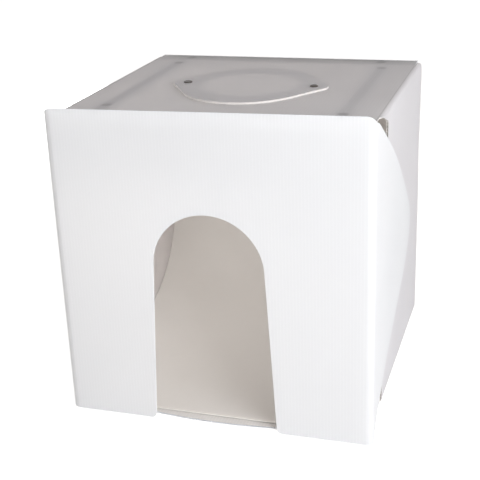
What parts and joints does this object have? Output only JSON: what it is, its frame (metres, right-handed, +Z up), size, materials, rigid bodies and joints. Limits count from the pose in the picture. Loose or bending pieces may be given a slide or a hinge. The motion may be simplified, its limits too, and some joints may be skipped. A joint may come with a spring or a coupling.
{
  "type": "light tent cube",
  "caption": "Foldable photo light tent: a cube of translucent sheets with an arched front cover, LED bars, a camera hole flap and a sweep backdrop.",
  "frame": {"origin": "centre of the box's footprint, on the ground under the floor panel", "axes": "+Z up, the arched front faces -Y, +X to the right seen from the front"},
  "size_m": [0.399, 0.386, 0.4045],
  "materials": {
    "sheet_white": "translucent fluted sheet, satin",
    "cover_white": "translucent fluted sheet, satin",
    "backdrop_white": "thin flexible sheet, matte",
    "magnet_steel": "plated magnet disc",
    "plate_steel": "zinc-plated steel disc",
    "bar_aluminium": "satin anodised",
    "led_board": "white solder mask with yellow chips",
    "diffuser_opal": "opal diffuser",
    "cap_grey": "moulded plastic, fine grain",
    "snap_grey": "moulded snap fastener"
  },
  "bodies": {
    "shell": {"floor_panel": "sheet_white", "back_panel": "sheet_white", "left_side_panel": "sheet_white", "right_side_panel": "sheet_white", "rear_strip": "sheet_white", "backdrop": "backdrop_white", "left_backdrop_magnet": "magnet_steel", "right_backdrop_magnet": "magnet_steel", "left_strip_plate": "plate_steel", "right_strip_plate": "plate_steel", "left_side_magnet": "magnet_steel", "right_side_magnet": "magnet_steel"},
    "lid": {"top_panel": "sheet_white", "left_outer_flap": "sheet_white", "right_outer_flap": "sheet_white", "left_flap_plate": "plate_steel", "right_flap_plate": "plate_steel", "pivot_snap_stud": "snap_grey", "free_snap_stud": "snap_grey", "left_front_bar_plate": "plate_steel", "left_rear_bar_plate": "plate_steel", "right_front_bar_plate": "plate_steel", "right_rear_bar_plate": "plate_steel"},
    "camera_flap": {"hole_flap": "sheet_white", "pivot_snap_cap": "snap_grey", "free_snap_cap": "snap_grey"},
    "left_bar": {"left_bar_channel": "bar_aluminium", "left_bar_led_board": "led_board", "left_bar_diffuser": "diffuser_opal", "left_bar_front_cap": "cap_grey", "left_bar_rear_cap": "cap_grey", "left_front_bar_magnet": "magnet_steel", "left_rear_bar_magnet": "magnet_steel", "left_bar_socket": "cap_grey"},
    "right_bar": {"right_bar_channel": "bar_aluminium", "right_bar_led_board": "led_board", "right_bar_diffuser": "diffuser_opal", "right_bar_front_cap": "cap_grey", "right_bar_rear_cap": "cap_grey", "right_front_bar_magnet": "magnet_steel", "right_rear_bar_magnet": "magnet_steel", "right_bar_socket": "cap_grey"},
    "cover": {"front_panel": "cover_white", "left_cover_bend": "cover_white", "right_cover_bend": "cover_white"},
    "left_cover_wing": {"left_wing": "cover_white", "left_wing_magnet": "magnet_steel"},
    "right_cover_wing": {"right_wing": "cover_white", "right_wing_magnet": "magnet_steel"}
  },
  "joints": [
    {"name": "lid_lift", "type": "hinge", "parent": "shell", "child": "lid", "pos_m": [0, 0.155, 0.39], "axis": [-1, 0, 0], "range_deg": [0, 110]},
    {"name": "camera_flap_swivel", "type": "hinge", "parent": "lid", "child": "camera_flap", "pos_m": [-0.085, 0, 0.39], "axis": [0, 0, -1], "range_deg": [-110, 110]},
    {"name": "left_bar_off", "type": "slide", "parent": "lid", "child": "left_bar", "axis": [0, 0, -1], "range_m": [0, 0.06]},
    {"name": "right_bar_off", "type": "slide", "parent": "lid", "child": "right_bar", "axis": [0, 0, -1], "range_m": [0, 0.06]},
    {"name": "cover_off", "type": "slide", "parent": "lid", "child": "cover", "axis": [0, -1, 0], "range_m": [0, 0.2]},
    {"name": "left_wing_fold", "type": "hinge", "parent": "cover", "child": "left_cover_wing", "pos_m": [-0.19637, -0.19287, 0.2025], "axis": [0, 0, 1], "range_deg": [0, 90]},
    {"name": "right_wing_fold", "type": "hinge", "parent": "cover", "child": "right_cover_wing", "pos_m": [0.19637, -0.19287, 0.2025], "axis": [0, 0, -1], "range_deg": [0, 90]}
  ]
}
